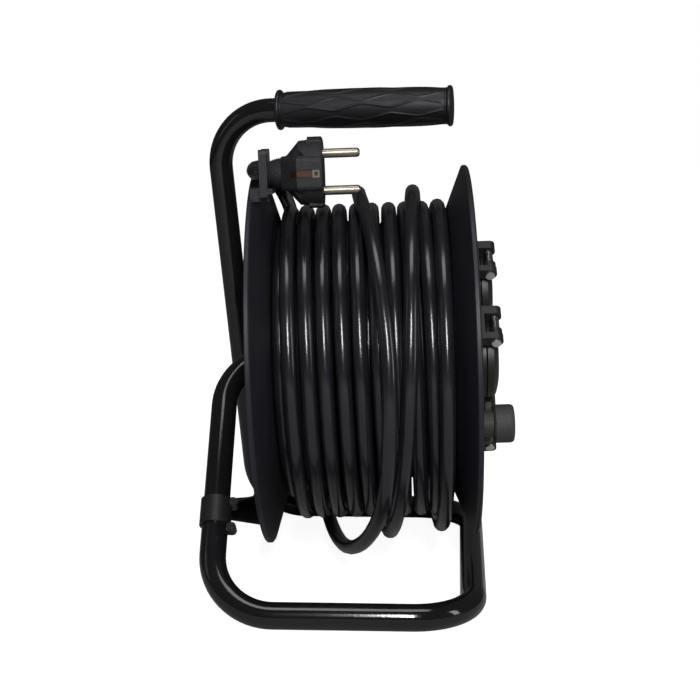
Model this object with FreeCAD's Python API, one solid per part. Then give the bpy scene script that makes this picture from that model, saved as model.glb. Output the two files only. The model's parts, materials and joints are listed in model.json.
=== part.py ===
"""Extension cord reel: a drum with four lidded sockets on a frame bent from one tube.

X runs along the drum's axle, from the frame's legs to the sockets. Y points away from
the side that the parked plug is on. Z is up, and the base tube lies on z = 0.
All lengths are in millimetres.
"""
import FreeCAD
import Part
import math
import os

os.makedirs("parts", exist_ok=True)

# Drum
DRUM_MIDDLE_X = 4.62
AXLE_HEIGHT = 126.0
AXLE_TILT = 2.37
REAR_RADIUS = 105.0
FRONT_RADIUS = 103.0
BARREL_RADIUS = 44.0
POT_RADIUS = 71.0
POT_BACK = 28.1
REAR_RIM_X = -52.2
FRONT_RIM_X = 64.5
REAR_WALL_X = -41.8
FRONT_WALL_X = 52.0
WALL = 2.7

# Frame tube
TUBE_D = 14.0
TUBE_R = TUBE_D / 2
TUBE_WALL = 1.5
NEAR_Y = -98.0
FAR_Y = 97.0
NEAR_LEFT_X = -73.0
FAR_LEFT_X = -65.3
NEAR_RIGHT_X = 62.4
FAR_RIGHT_X = 72.4
LEG_X = -73.0
GRIP_END = (50.4, 40.2, 263.8)
HANDLE_CORNER = (-86.3, 59.8, 260.0)
BEND_R = 33.0
AXLE_BEND_R = 32.0
AXLE_END = 44.0
CLAMP_HEIGHT = 49.8
FAR_SEAM_HEIGHT = 50.0

# Handle grip
GRIP_LENGTH = 103.0
GRIP_RING_R = 11.8
GRIP_ENDS_R = 10.0
GRIP_BELLY_R = 11.2

# Sockets, in two rows that are hinged on their outer sides, in the drum's own frame
ROW_HALF = 22.3
COLUMN_HALF = 23.5
HINGE_TURN = -48.8
SOCKET_R = 21.0
RECESS_R = 19.5
RECESS_DEPTH = 17.0
SOCKET_FACE = 69.6
CONTACT_PITCH = 19.0
PANEL_BACK = 58.5
PANEL_FACE = 61.5
PANEL_R = 78.0
COLLAR_R = 22.0
LID_R = 21.9
LID_BACK = 70.2
LID_EDGE = 73.4
LID_TOP = 76.4
PIN_X = 74.5
PIN_OFFSET = 25.2
PIN_R = 1.5
BLOCK_HALF = 11.0
BLOCK_TOP = 78.2
WINDOW_LOW = -7.0
WINDOW_HIGH = 5.7

# Winding knob
KNOB_CENTRE = (-87.0, -23.0)
KNOB_R = 9.7
KNOB_BACK = 69.9
KNOB_FRONT = 80.2
POST_R = 6.6

# Plug, parked beside the rear flange's rim
PLUG_AXIS = (-49.5, 103.9)
PLUG_FACE = -12.2
PLUG_R = 17.8
PLUG_PIN_R = 2.4
PLUG_PIN_LENGTH = 19.0

# Cord
CORD_D = 8.0
CORD_R = CORD_D / 2
CORE_R = 75.4
LAYER_R = 84.4
LAYER_SAG = 4.2
SECOND_LAYER = 8.9
LAYER_TURNS = 9.25
LAYER_START_X = 47.6
LAYER_END_X = -36.2


def vec(x, y, z):
    return FreeCAD.Vector(x, y, z)


def save(name, shape):
    """Writes one node, checked as a valid closed solid or a group of them."""
    solids = shape.Solids
    if not solids or not shape.isValid():
        print("CHECK", name, "solids", len(solids), "valid", shape.isValid())
    out = solids[0] if len(solids) == 1 else Part.makeCompound(solids)
    out.exportStep("parts/%s.step" % name)
    return out


def true_box(shape):
    return shape.optimalBoundingBox(False, False)


def on_drum(shape):
    """Moves a shape from the drum's own frame to its tilted place on the axle."""
    placed = shape.copy()
    placed.rotate(vec(0, 0, 0), vec(0, 1, 0), -AXLE_TILT)
    placed.translate(vec(DRUM_MIDDLE_X, 0, AXLE_HEIGHT))
    return placed


def rod(x0, x1, radius, y=0.0, z=0.0):
    """Cylinder along the X axis."""
    return Part.makeCylinder(radius, x1 - x0, vec(x0, y, z), vec(1, 0, 0))


def ring(x0, x1, outer, inner, y=0.0, z=0.0):
    return rod(x0, x1, outer, y, z).cut(rod(x0 - 1, x1 + 1, inner, y, z))


def block(x0, x1, y0, y1, z0, z1):
    return Part.makeBox(x1 - x0, y1 - y0, z1 - z0, vec(x0, y0, z0))


def turned(profile, y=0.0, z=0.0):
    """Solid of revolution about X from a closed profile of (x, radius) points."""
    points = [vec(x, 0, r) for x, r in profile]
    face = Part.Face(Part.makePolygon(points + points[:1]))
    solid = face.revolve(vec(0, 0, 0), vec(1, 0, 0), 360)
    solid.translate(vec(0, y, z))
    return solid


def polar(radius, degrees):
    """Place (y, z) at an angle from the top of the drum towards the far side."""
    angle = math.radians(degrees)
    return radius * math.sin(angle), radius * math.cos(angle)


def socket_places():
    """Turn about the axle in degrees and side along the row of each socket."""
    return [(HINGE_TURN, 1), (HINGE_TURN, -1), (HINGE_TURN + 180, 1), (HINGE_TURN + 180, -1)]


def at_socket(shape, place):
    """Carries a shape built round x at y = z = 0, hinged towards -y, to a socket's place."""
    turn, side = place
    placed = shape.copy()
    placed.translate(vec(0, -ROW_HALF, side * COLUMN_HALF))
    placed.rotate(vec(0, 0, 0), vec(1, 0, 0), turn)
    return placed


# Paths of straight runs and tangent arcs

def rounded_path(points, radii):
    """Edges through points with an arc of the given radius at each inner point."""
    edges = []
    start = points[0]
    for i in range(1, len(points) - 1):
        corner = points[i]
        back = (points[i - 1] - corner).normalize()
        ahead = (points[i + 1] - corner).normalize()
        half = back.getAngle(ahead) / 2
        reach = radii[i - 1] / math.tan(half)
        centre = corner + (back + ahead).normalize() * (radii[i - 1] / math.sin(half))
        first = corner + back * reach
        last = corner + ahead * reach
        middle = centre + (corner - centre).normalize() * radii[i - 1]
        edges.append(Part.LineSegment(start, first).toShape())
        edges.append(Part.Arc(first, middle, last).toShape())
        start = last
    edges.append(Part.LineSegment(start, points[-1]).toShape())
    return edges


def swept(edges, radius):
    """Round solid along a tangent chain of edges."""
    path = Part.Wire(edges)
    first = edges[0]
    origin = first.valueAt(first.FirstParameter)
    direction = first.tangentAt(first.FirstParameter)
    profile = Part.Wire(Part.makeCircle(radius, origin, direction))
    return path.makePipeShell([profile], True, False)


def cord_radii(points):
    """Largest even arcs that the route's runs leave room for."""
    radii = []
    for i in range(1, len(points) - 1):
        back = points[i - 1] - points[i]
        ahead = points[i + 1] - points[i]
        turn = math.pi - back.getAngle(ahead)
        room = min(back.Length, ahead.Length) * 0.45
        if i == 1:
            room = min(back.Length * 0.94, ahead.Length * 0.45)
        radii.append(room / math.tan(turn / 2))
    return radii


# Frame: one tube, bent, in three lengths that meet end to end

def frame_point(x, y, z):
    return vec(DRUM_MIDDLE_X + x, y, z)


def axle_point(x):
    tilt = math.radians(AXLE_TILT)
    return vec(DRUM_MIDDLE_X + x * math.cos(tilt), 0, AXLE_HEIGHT + x * math.sin(tilt))


LEG_TOP = axle_point(LEG_X / math.cos(math.radians(AXLE_TILT)))
NEAR_LEFT = frame_point(NEAR_LEFT_X, NEAR_Y, TUBE_R)
FAR_LEFT = frame_point(FAR_LEFT_X, FAR_Y, TUBE_R)
NEAR_RIGHT = frame_point(NEAR_RIGHT_X, NEAR_Y, TUBE_R)
FAR_RIGHT = frame_point(FAR_RIGHT_X, FAR_Y, TUBE_R)
HANDLE_TOP = frame_point(*HANDLE_CORNER)
GRIP_TIP = frame_point(*GRIP_END)


def at_height(low, high, z):
    return low + (high - low) * ((z - low.z) / (high.z - low.z))


NEAR_CLAMP = at_height(NEAR_LEFT, LEG_TOP, CLAMP_HEIGHT)
FAR_SEAM = at_height(FAR_LEFT, HANDLE_TOP, FAR_SEAM_HEIGHT)


def bent_tube(points, radii):
    edges = rounded_path(points, radii)
    return swept(edges, TUBE_R).cut(swept(edges, TUBE_R - TUBE_WALL))


def handle_tube():
    return bent_tube([GRIP_TIP, HANDLE_TOP, FAR_SEAM], [BEND_R])


def base_loop():
    points = [FAR_SEAM, FAR_LEFT, FAR_RIGHT, NEAR_RIGHT, NEAR_LEFT, NEAR_CLAMP]
    return bent_tube(points, [BEND_R] * 4)


def axle_leg():
    return bent_tube([NEAR_CLAMP, LEG_TOP, axle_point(AXLE_END)], [AXLE_BEND_R])


def along(shape, origin, direction):
    """Turns a shape built on the X axis to a direction and carries it to an origin."""
    placed = shape.copy()
    turn = FreeCAD.Rotation(vec(1, 0, 0), direction)
    placed.Placement = FreeCAD.Placement(origin, turn).multiply(placed.Placement)
    return placed


def handle_grip():
    """Soft sleeve with a ring at each end and a belly between, closed at its free end."""
    length = GRIP_LENGTH
    ring_width = 3.4
    lip = 1.1
    outline = [
        vec(0, 0, TUBE_R + 0.05),
        vec(0, 0, GRIP_RING_R - lip),
        vec(lip, 0, GRIP_RING_R),
        vec(ring_width - lip, 0, GRIP_RING_R),
        vec(ring_width, 0, GRIP_RING_R - lip),
        vec(ring_width, 0, GRIP_ENDS_R),
    ]
    belly = Part.Arc(
        vec(ring_width, 0, GRIP_ENDS_R),
        vec(length * 0.55, 0, GRIP_BELLY_R),
        vec(length - ring_width, 0, GRIP_ENDS_R + 0.4),
    )
    tail = [
        vec(length - ring_width, 0, GRIP_ENDS_R + 0.4),
        vec(length - ring_width, 0, GRIP_RING_R - lip),
        vec(length - ring_width + lip, 0, GRIP_RING_R),
        vec(length - lip, 0, GRIP_RING_R),
        vec(length, 0, GRIP_RING_R - lip),
        vec(length, 0, 0),
        vec(length - 3.0, 0, 0),
        vec(length - 3.0, 0, TUBE_R + 0.05),
        vec(0, 0, TUBE_R + 0.05),
    ]
    edges = Part.makePolygon(outline).Edges + [belly.toShape()] + Part.makePolygon(tail).Edges
    face = Part.Face(Part.Wire(edges))
    sleeve = face.revolve(vec(0, 0, 0), vec(1, 0, 0), 360)
    direction = (GRIP_TIP - HANDLE_TOP).normalize()
    return along(sleeve, GRIP_TIP - direction * (length - 3.2), direction)


# Brace: a split clamp on the near leg, and a ribbed arm down to a saddle on the far bend

CLAMP_R = 8.4
CLAMP_LENGTH = 14.7
ARM_WALL = 2.6
ARM_START = (-68.6, -58.0)
ARM_END = (-51.2, 96.0)
SADDLE_R = 9.6
SADDLE_LENGTH = 15.0
LUG_R = 2.5
LUG_PLACES = [(8.95, 5.6), (8.95, -8.6)]


def arm_point(y, z, depth=0.0):
    """Point on the arm's drum side, whose x follows from its y."""
    share = (y - ARM_START[1]) / (ARM_END[1] - ARM_START[1])
    x = ARM_START[0] + (ARM_END[0] - ARM_START[0]) * share
    return frame_point(x + depth, y, z)


def arm_plate():
    """Upright plate from the clamp down to the saddle, deepest in the middle."""
    upper = [(-58.0, 54.6), (-45.0, 52.8), (50.0, 27.0), (84.0, 22.0), (92.0, 22.0)]
    lower = [(92.0, 5.0), (72.0, 2.2), (50.0, 8.1), (-45.0, 41.0), (-58.0, 45.5)]
    points = [arm_point(y, z) for y, z in upper + lower]
    return Part.Face(Part.makePolygon(points + points[:1])).extrude(vec(-ARM_WALL, 0, 0))


def arm_rib(near, far, wall=1.6):
    """Long rib on the plate between two (y, z, depth) ends."""
    points = [
        arm_point(near[0], near[1], -0.5),
        arm_point(far[0], far[1], -0.5),
        arm_point(*far),
        arm_point(*near),
    ]
    return Part.Face(Part.makePolygon(points + points[:1])).extrude(vec(0, 0, -wall))


def arm_ribs():
    ribs = [
        arm_rib((-52.0, 53.2, 3.4), (70.0, 24.0, 5.0)),
        arm_rib((-47.0, 48.8, 0.3), (70.0, 18.0, 5.0)),
        arm_rib((-47.0, 45.6, 0.3), (70.0, 10.4, 4.6)),
        arm_rib((-47.0, 43.2, 1.0), (70.0, 4.3, 2.4)),
    ]
    return ribs


def clamp_frame():
    """Placement at the clamp with Z up the near leg and X towards the drum."""
    up = (LEG_TOP - NEAR_LEFT).normalize()
    away = up.cross(vec(1, 0, 0)).normalize()
    right = away.cross(up).normalize()
    matrix = FreeCAD.Matrix(
        right.x, away.x, up.x, NEAR_CLAMP.x,
        right.y, away.y, up.y, NEAR_CLAMP.y,
        right.z, away.z, up.z, NEAR_CLAMP.z,
        0, 0, 0, 1,
    )
    return FreeCAD.Placement(matrix)


def upright(radius, x, y, z0, z1):
    return Part.makeCylinder(radius, z1 - z0, vec(x, y, z0), vec(0, 0, 1))


def across(radius, x, z, y0, y1):
    return Part.makeCylinder(radius, y1 - y0, vec(x, y0, z), vec(0, 1, 0))


def clamp_half(side):
    """Half of the collar with its two lugs: side is -1 in front and 1 behind."""
    half = CLAMP_LENGTH / 2
    shape = upright(CLAMP_R, 0, 0, -half, half)
    low, high = (0.15, 3.6) if side > 0 else (-3.0, -0.15)
    keep = block(-20, 20, 0.15, 20, -30, 30) if side > 0 else block(-20, 20, -20, -0.15, -30, 30)
    shape = shape.common(keep)
    for x, z in LUG_PLACES:
        lug = across(LUG_R, x, z, low, high)
        foot = block(4.0, x, low, high, z - LUG_R + 0.1, z + LUG_R - 0.1)
        shape = shape.fuse(lug).fuse(foot)
    return shape


def cut_clamp(shape, side):
    shape = shape.cut(upright(TUBE_R + 0.05, 0, 0, -40, 40))
    for x, z in LUG_PLACES:
        if side > 0:
            shape = shape.cut(across(0.95, x, z, -1, 3.1))
        else:
            shape = shape.cut(across(1.15, x, z, -10, 1))
            shape = shape.cut(across(2.15, x, z, -10, -2.1))
    return shape


def brace_front():
    """Front half of the clamp."""
    shape = cut_clamp(clamp_half(-1), -1)
    shape.Placement = clamp_frame().multiply(shape.Placement)
    return shape


def saddle():
    """Open half sleeve over the tube where the arm meets the far bend."""
    edges = rounded_path([FAR_SEAM, FAR_LEFT, FAR_RIGHT], [BEND_R])
    bend = edges[1]
    share = bend.FirstParameter + 0.5 * (bend.LastParameter - bend.FirstParameter)
    centre = bend.valueAt(share)
    direction = bend.tangentAt(share)
    start = centre - direction * (SADDLE_LENGTH / 2)
    sleeve = Part.makeCylinder(SADDLE_R, SADDLE_LENGTH, start, direction)
    keep = block(centre.x - 30, centre.x + 30, centre.y - 30, centre.y + 2.0, centre.z - 30, centre.z + 30)
    return sleeve.common(keep), swept(edges, TUBE_R + 0.05)


def brace_arm():
    """Rear half of the clamp with the ribbed arm and the saddle at its end."""
    place = clamp_frame()
    half = clamp_half(1)
    half.Placement = place.multiply(half.Placement)
    sleeve, tube = saddle()
    shape = arm_plate()
    for rib in arm_ribs():
        shape = shape.fuse(rib)
    front = block(-20, 20, -30, 0.15, -40, 40)
    front.Placement = place.multiply(front.Placement)
    shape = shape.cut(front)
    shape = shape.fuse(half).fuse(sleeve)
    shape = shape.cut(tube)
    shape.Placement = place.inverse().multiply(shape.Placement)
    shape = cut_clamp(shape, 1)
    shape.Placement = place.multiply(shape.Placement)
    return shape.removeSplitter()


def brace_screws():
    screws = []
    for x, z in LUG_PLACES:
        shank = across(0.9, x, z, -2.2, 3.0)
        head = across(2.05, x, z, -3.6, -2.15)
        slot = block(x - 3, x + 3, -4.0, -3.1, z - 0.3, z + 0.3)
        screw = shank.fuse(head).cut(slot)
        screw.Placement = clamp_frame().multiply(screw.Placement)
        screws.append(screw)
    return Part.makeCompound(screws)


# Axle fittings, on the frame

def axle_stop_collar():
    return on_drum(ring(-41.6, -37.6, 11.0, TUBE_R))


def axle_washer():
    return on_drum(ring(40.3, 41.7, 10.4, TUBE_R + 0.05))


def axle_clip():
    """Spring clip with a gap, round the axle's end."""
    clip = ring(41.7, 43.0, 9.8, TUBE_R)
    return on_drum(clip.cut(block(41, 44, -1.6, 1.6, 5, 14)))


def axle_plug():
    """Cap that closes the tube's end inside the drum."""
    spigot = rod(AXLE_END - 5, AXLE_END, TUBE_R - TUBE_WALL - 0.02)
    return on_drum(spigot.fuse(rod(AXLE_END, AXLE_END + 1.8, TUBE_R)))


# Drum

HUB_R = 15.0
FRONT_HUB_R = 10.6
BUSH_R = 8.8


def rear_flange():
    """Dished flange with the barrel's narrow part, ribbed on its outer face."""
    back = REAR_WALL_X - WALL
    profile = [
        (back, 11.6),
        (back, 79.5),
        (REAR_RIM_X, 103.4),
        (REAR_RIM_X, REAR_RADIUS - 0.5),
        (REAR_RIM_X + 0.5, REAR_RADIUS),
        (REAR_RIM_X + WALL - 0.5, REAR_RADIUS),
        (REAR_RIM_X + WALL, REAR_RADIUS - 0.5),
        (REAR_WALL_X, 80.0),
        (REAR_WALL_X, BARREL_RADIUS),
        (POT_BACK - 0.2, BARREL_RADIUS),
        (POT_BACK - 0.2, BARREL_RADIUS - 2.5),
        (REAR_WALL_X, BARREL_RADIUS - 2.5),
        (REAR_WALL_X, HUB_R),
        (-18.0, HUB_R),
        (-18.0, BUSH_R),
        (-37.2, BUSH_R),
        (-37.2, 11.6),
    ]
    shape = turned(profile)
    for i in range(12):
        rib = block(back - 2.4, back + 0.5, -1.0, 1.0, 15.5, 79.0)
        rib.rotate(vec(0, 0, 0), vec(1, 0, 0), 15 + 30 * i)
        shape = shape.fuse(rib)
    shape = shape.fuse(ring(back - 2.4, back + 0.5, 17.5, 15.0))
    shape = shape.fuse(ring(back - 2.4, back + 0.5, 47.0, 45.0))
    for i in range(4):
        y, z = polar(34.0, 45 + 90 * i)
        boss = rod(REAR_WALL_X - 0.5, POT_BACK - 0.2, 4.2, y, z)
        shape = shape.fuse(boss)
        shape = shape.cut(rod(POT_BACK - 16, POT_BACK + 1, 1.7, y, z))
    return on_drum(shape)


def front_flange():
    """Dished flange with the barrel's wide pot that the sockets sit in."""
    profile = [
        (POT_BACK, BUSH_R),
        (POT_BACK, POT_RADIUS),
        (FRONT_WALL_X, POT_RADIUS),
        (FRONT_WALL_X + 0.6, 80.0),
        (61.5, FRONT_RADIUS - 0.6),
        (62.0, FRONT_RADIUS),
        (FRONT_RIM_X - 0.8, FRONT_RADIUS),
        (FRONT_RIM_X, FRONT_RADIUS - 0.8),
        (FRONT_RIM_X, 100.9),
        (63.7, 100.4),
        (56.2, 82.2),
        (56.2, 80.8),
        (PANEL_FACE + 0.4, 80.8),
        (PANEL_FACE + 0.4, PANEL_R + 0.3),
        (PANEL_BACK - 0.1, PANEL_R + 0.3),
        (PANEL_BACK - 0.1, POT_RADIUS - 2.3),
        (POT_BACK + 2.5, POT_RADIUS - 2.3),
        (POT_BACK + 2.5, FRONT_HUB_R),
        (40.0, FRONT_HUB_R),
        (40.0, BUSH_R),
    ]
    shape = turned(profile)
    for i in range(4):
        y, z = polar(34.0, 45 + 90 * i)
        shape = shape.cut(rod(POT_BACK - 1, POT_BACK + 4, 2.2, y, z))
    for y, z in panel_screw_places():
        post = rod(POT_BACK + 2, PANEL_BACK - 0.1, 3.6, y, z)
        shape = shape.fuse(post)
        shape = shape.cut(rod(PANEL_BACK - 12, PANEL_BACK + 1, 1.45, y, z))
    y, z = KNOB_CENTRE
    behind = turned([(40.0, 78.0), (FRONT_WALL_X + 0.8, 80.0), (61.7, FRONT_RADIUS - 0.6), (40.0, FRONT_RADIUS - 0.6)])
    post = rod(53.5, 61.6, POST_R + 1.2, y, z).cut(behind)
    shape = shape.fuse(post)
    shape = shape.cut(rod(61.6, 66.0, POST_R + 0.6, y, z))
    shape = shape.cut(rod(58.8, 64.0, 3.05, y, z))
    return on_drum(shape)


def barrel_screws():
    screws = []
    for i in range(4):
        y, z = polar(34.0, 45 + 90 * i)
        shank = rod(POT_BACK - 14, POT_BACK + 3, 1.65, y, z)
        screws.append(shank.fuse(rod(POT_BACK + 2.55, POT_BACK + 5, 3.6, y, z)))
    return on_drum(Part.makeCompound(screws))


def rear_bush():
    return on_drum(ring(-37.0, -18.2, BUSH_R - 0.02, TUBE_R + 0.06))


def front_bush():
    return on_drum(ring(POT_BACK + 0.2, 39.9, BUSH_R - 0.02, TUBE_R + 0.06))


def panel_screw_places():
    return [polar(62.0, 90 * i - HINGE_TURN) for i in range(4)]


def hinge_block():
    """Two knuckles for the lid's pin, open between for the lid's arm and its spring."""
    low = -PIN_OFFSET - 4.2
    high = -PIN_OFFSET + 2.4
    body = block(PANEL_FACE + 0.02, BLOCK_TOP, low, high, -BLOCK_HALF, BLOCK_HALF)
    outer = [e for e in body.Edges if abs(e.CenterOfMass.x - BLOCK_TOP) < 0.01 and e.tangentAt(0).z != 0]
    body = body.makeFillet(3.0, outer)
    window = block(LID_BACK - 1.2, PIN_X + 6, low - 1, high + 1, WINDOW_LOW, WINDOW_HIGH)
    shape = body.cut(window)
    return shape.cut(upright(PIN_R + 0.02, PIN_X, -PIN_OFFSET, -20, 20))


def socket_panel():
    """Cover plate that the sockets stand in."""
    shape = rod(PANEL_BACK, PANEL_FACE, PANEL_R)
    for place in socket_places():
        shape = shape.cut(at_socket(rod(PANEL_BACK - 1, PANEL_FACE + 1, SOCKET_R + 0.05), place))
    for y, z in panel_screw_places():
        shape = shape.cut(rod(PANEL_BACK - 1, PANEL_FACE + 1, 1.75, y, z))
        shape = shape.cut(rod(PANEL_FACE - 1.5, PANEL_FACE + 1, 3.3, y, z))
    shape = shape.cut(rod(PANEL_BACK - 1, PANEL_FACE + 1, 6.5))
    shape = shape.fuse(ring(PANEL_FACE - 0.5, PANEL_FACE + 1.2, 8.4, 6.5))
    return on_drum(shape)


def panel_screws():
    screws = []
    for y, z in panel_screw_places():
        shank = rod(PANEL_BACK - 11, PANEL_FACE - 1.3, 1.4, y, z)
        head = rod(PANEL_FACE - 1.4, PANEL_FACE + 0.5, 3.2, y, z)
        slot = block(PANEL_FACE - 0.2, PANEL_FACE + 1, y - 0.4, y + 0.4, z - 4, z + 4)
        screws.append(shank.fuse(head).cut(slot))
    return on_drum(Part.makeCompound(screws))


def earth_slots(shape):
    """Cuts the slots of a socket's two earth clips."""
    for side in (-1, 1):
        low = min(side * (RECESS_R - 2.4), side * (RECESS_R + 0.9))
        high = max(side * (RECESS_R - 2.4), side * (RECESS_R + 0.9))
        shape = shape.cut(block(SOCKET_FACE - RECESS_DEPTH - 8, SOCKET_FACE - 1.5, -2.3, 2.3, low, high))
    return shape


def socket_insert(place):
    """Socket's front: a collar and the wall of a round recess, with side guides and earth slots."""
    floor = SOCKET_FACE - RECESS_DEPTH
    profile = [
        (floor, RECESS_R),
        (floor, SOCKET_R),
        (PANEL_FACE + 0.02, SOCKET_R),
        (PANEL_FACE + 0.02, COLLAR_R),
        (SOCKET_FACE - 0.3, COLLAR_R),
        (SOCKET_FACE + 0.1, COLLAR_R - 0.4),
        (SOCKET_FACE + 0.1, RECESS_R + 0.6),
        (SOCKET_FACE - 0.5, RECESS_R),
    ]
    shape = turned(profile)
    for side in (-1, 1):
        guide = block(floor, SOCKET_FACE - 3, -1.4, 1.4, RECESS_R - 1.6, RECESS_R + 0.4)
        guide.rotate(vec(0, 0, 0), vec(1, 0, 0), 90 * side)
        shape = shape.fuse(guide)
    return on_drum(at_socket(earth_slots(shape), place))


def socket_base(place):
    """Socket's contact carrier: the floor of the recess, two contact holes and their seats."""
    floor = SOCKET_FACE - RECESS_DEPTH
    back = 38.0
    shape = turned([(back, 0), (back, SOCKET_R - 1.2), (back + 1.2, SOCKET_R), (floor, SOCKET_R), (floor, 0)])
    for side in (-1, 1):
        shape = shape.cut(rod(floor - 3, floor + 1, 2.5, side * CONTACT_PITCH / 2))
        shape = shape.cut(rod(back - 1, floor - 2.6, 3.65, side * CONTACT_PITCH / 2))
    return on_drum(at_socket(earth_slots(shape), place))


def earth_clips():
    """Bent strips on both sides of each socket's recess, across from its contacts."""
    floor = SOCKET_FACE - RECESS_DEPTH
    clips = []
    for place in socket_places():
        for side in (-1, 1):
            strip = [
                (floor - 7.5, RECESS_R - 0.6),
                (floor - 7.5, RECESS_R + 0.4),
                (SOCKET_FACE - 3.0, RECESS_R + 0.4),
                (SOCKET_FACE - 2.2, RECESS_R - 1.2),
                (SOCKET_FACE - 8.0, RECESS_R - 2.6),
                (SOCKET_FACE - 8.2, RECESS_R - 1.6),
                (SOCKET_FACE - 4.2, RECESS_R - 0.6),
            ]
            points = [vec(px, -2.0, side * pr) for px, pr in strip]
            face = Part.Face(Part.makePolygon(points + points[:1]))
            clips.append(at_socket(face.extrude(vec(0, 4.0, 0)), place))
    return on_drum(Part.makeCompound(clips))


def contact_sleeves():
    floor = SOCKET_FACE - RECESS_DEPTH
    sleeves = []
    for place in socket_places():
        for side in (-1, 1):
            sleeve = ring(38.6, floor - 2.8, 3.6, 2.42, side * CONTACT_PITCH / 2)
            sleeves.append(at_socket(sleeve, place))
    return on_drum(Part.makeCompound(sleeves))


def socket_lid(place):
    """Domed lid with an ear and an arm on the hinge pin, and a thumb lip."""
    profile = [
        (LID_BACK, 0),
        (LID_BACK, LID_R),
        (LID_EDGE, LID_R),
        (LID_EDGE + 1.6, LID_R - 1.8),
        (LID_TOP - 0.6, LID_R - 4.4),
        (LID_TOP, LID_R - 7.0),
        (LID_TOP, 0),
    ]
    shape = turned(profile)
    ear = upright(3.5, PIN_X, -PIN_OFFSET, WINDOW_LOW + 0.3, -2.8)
    arm = block(LID_BACK + 1.2, PIN_X + 0.6, -PIN_OFFSET, -LID_R + 6, WINDOW_LOW + 0.3, -2.8)
    shape = shape.fuse(ear).fuse(arm)
    lip = block(LID_BACK + 0.4, LID_BACK + 2.6, LID_R - 3, LID_R + 2.0, -5, 5)
    lean = math.degrees(math.atan2(COLUMN_HALF, ROW_HALF))
    lip.rotate(vec(0, 0, 0), vec(1, 0, 0), -place[1] * lean)
    shape = shape.fuse(lip)
    bore = upright(PIN_R + 0.06, PIN_X, -PIN_OFFSET, -20, 20)
    return on_drum(at_socket(shape.cut(bore), place))


def lid_hinge_pins():
    """Pins with a rivet head at each end."""
    pins = []
    for place in socket_places():
        pin = upright(PIN_R, PIN_X, -PIN_OFFSET, -BLOCK_HALF, BLOCK_HALF)
        for side in (-1, 1):
            ends = sorted((side * BLOCK_HALF, side * (BLOCK_HALF + 0.9)))
            pin = pin.fuse(upright(2.5, PIN_X, -PIN_OFFSET, *ends))
        pins.append(at_socket(pin, place))
    return on_drum(Part.makeCompound(pins))


def lid_springs():
    """Torsion springs on the pins, each as the sleeve that its wire fills."""
    springs = []
    for place in socket_places():
        coil = upright(2.4, PIN_X, -PIN_OFFSET, -2.6, WINDOW_HIGH - 0.2)
        hole = upright(PIN_R + 0.1, PIN_X, -PIN_OFFSET, -4, 7)
        springs.append(at_socket(coil.cut(hole), place))
    return on_drum(Part.makeCompound(springs))


def thermal_cutout():
    """Overload cut-out behind the middle of the panel, with a well for its button."""
    body = block(47.0, PANEL_BACK, -10.0, 10.0, -9.5, 9.5)
    body = body.cut(rod(55.0, 59.0, 6.3))
    for side in (-1, 1):
        tab = block(43.6, 47.2, side * 8.7 - 1.1, side * 8.7 + 1.1, -0.4, 0.4)
        body = body.fuse(tab)
    return on_drum(body)


def reset_button():
    """Domed push button."""
    profile = [
        (57.8, 0),
        (57.8, 6.0),
        (63.4, 6.0),
        (64.4, 5.2),
        (64.9, 3.2),
        (65.0, 0),
    ]
    return on_drum(turned(profile))


def terminal_block():
    """Three-way connector on the pot's bottom wall."""
    y, z = 0.0, -27.0
    body = block(POT_BACK + 2.5, POT_BACK + 9.5, y - 9, y + 9, z - 6, z + 6)
    for i in range(3):
        place = y - 6 + 6 * i
        body = body.cut(rod(POT_BACK + 5, POT_BACK + 10, 1.6, place, z - 2.8))
        hole = Part.makeCylinder(1.4, 14, vec(POT_BACK + 5.5, place, z - 7), vec(0, 0, 1))
        body = body.cut(hole)
    return on_drum(body)


def cord_clamp():
    """Strain relief bar inside the barrel, where the cord comes through its wall."""
    bar = block(14.0, 22.0, -10.0, 10.0, 24.0, 28.5)
    bar = bar.cut(rod(13, 23, 4.05, 0.0, 30.5))
    for side in (-1, 1):
        bar = bar.cut(Part.makeCylinder(1.3, 10, vec(18, side * 7.2, 20), vec(0, 0, 1)))
    foot = block(14.0, POT_BACK, -10.0, 10.0, 21.0, 24.2)
    return on_drum(bar.fuse(foot))


def winding_knob():
    """Squat rounded knob that turns on its spindle."""
    y, z = KNOB_CENTRE
    body = turned(
        [(61.8, 0), (61.8, POST_R), (KNOB_BACK, POST_R), (KNOB_BACK, KNOB_R - 0.9),
         (KNOB_BACK + 0.9, KNOB_R), (KNOB_FRONT - 2.0, KNOB_R), (KNOB_FRONT - 0.9, KNOB_R - 0.35),
         (KNOB_FRONT - 0.25, KNOB_R - 1.1), (KNOB_FRONT, KNOB_R - 2.2), (KNOB_FRONT, 0)],
        y, z,
    )
    body = body.cut(rod(60.0, KNOB_FRONT - 2.2, 3.05, y, z))
    return on_drum(body)


def knob_spindle():
    y, z = KNOB_CENTRE
    return on_drum(rod(58.85, KNOB_FRONT - 2.6, 3.0, y, z))


# Plug and its parking clip

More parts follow.
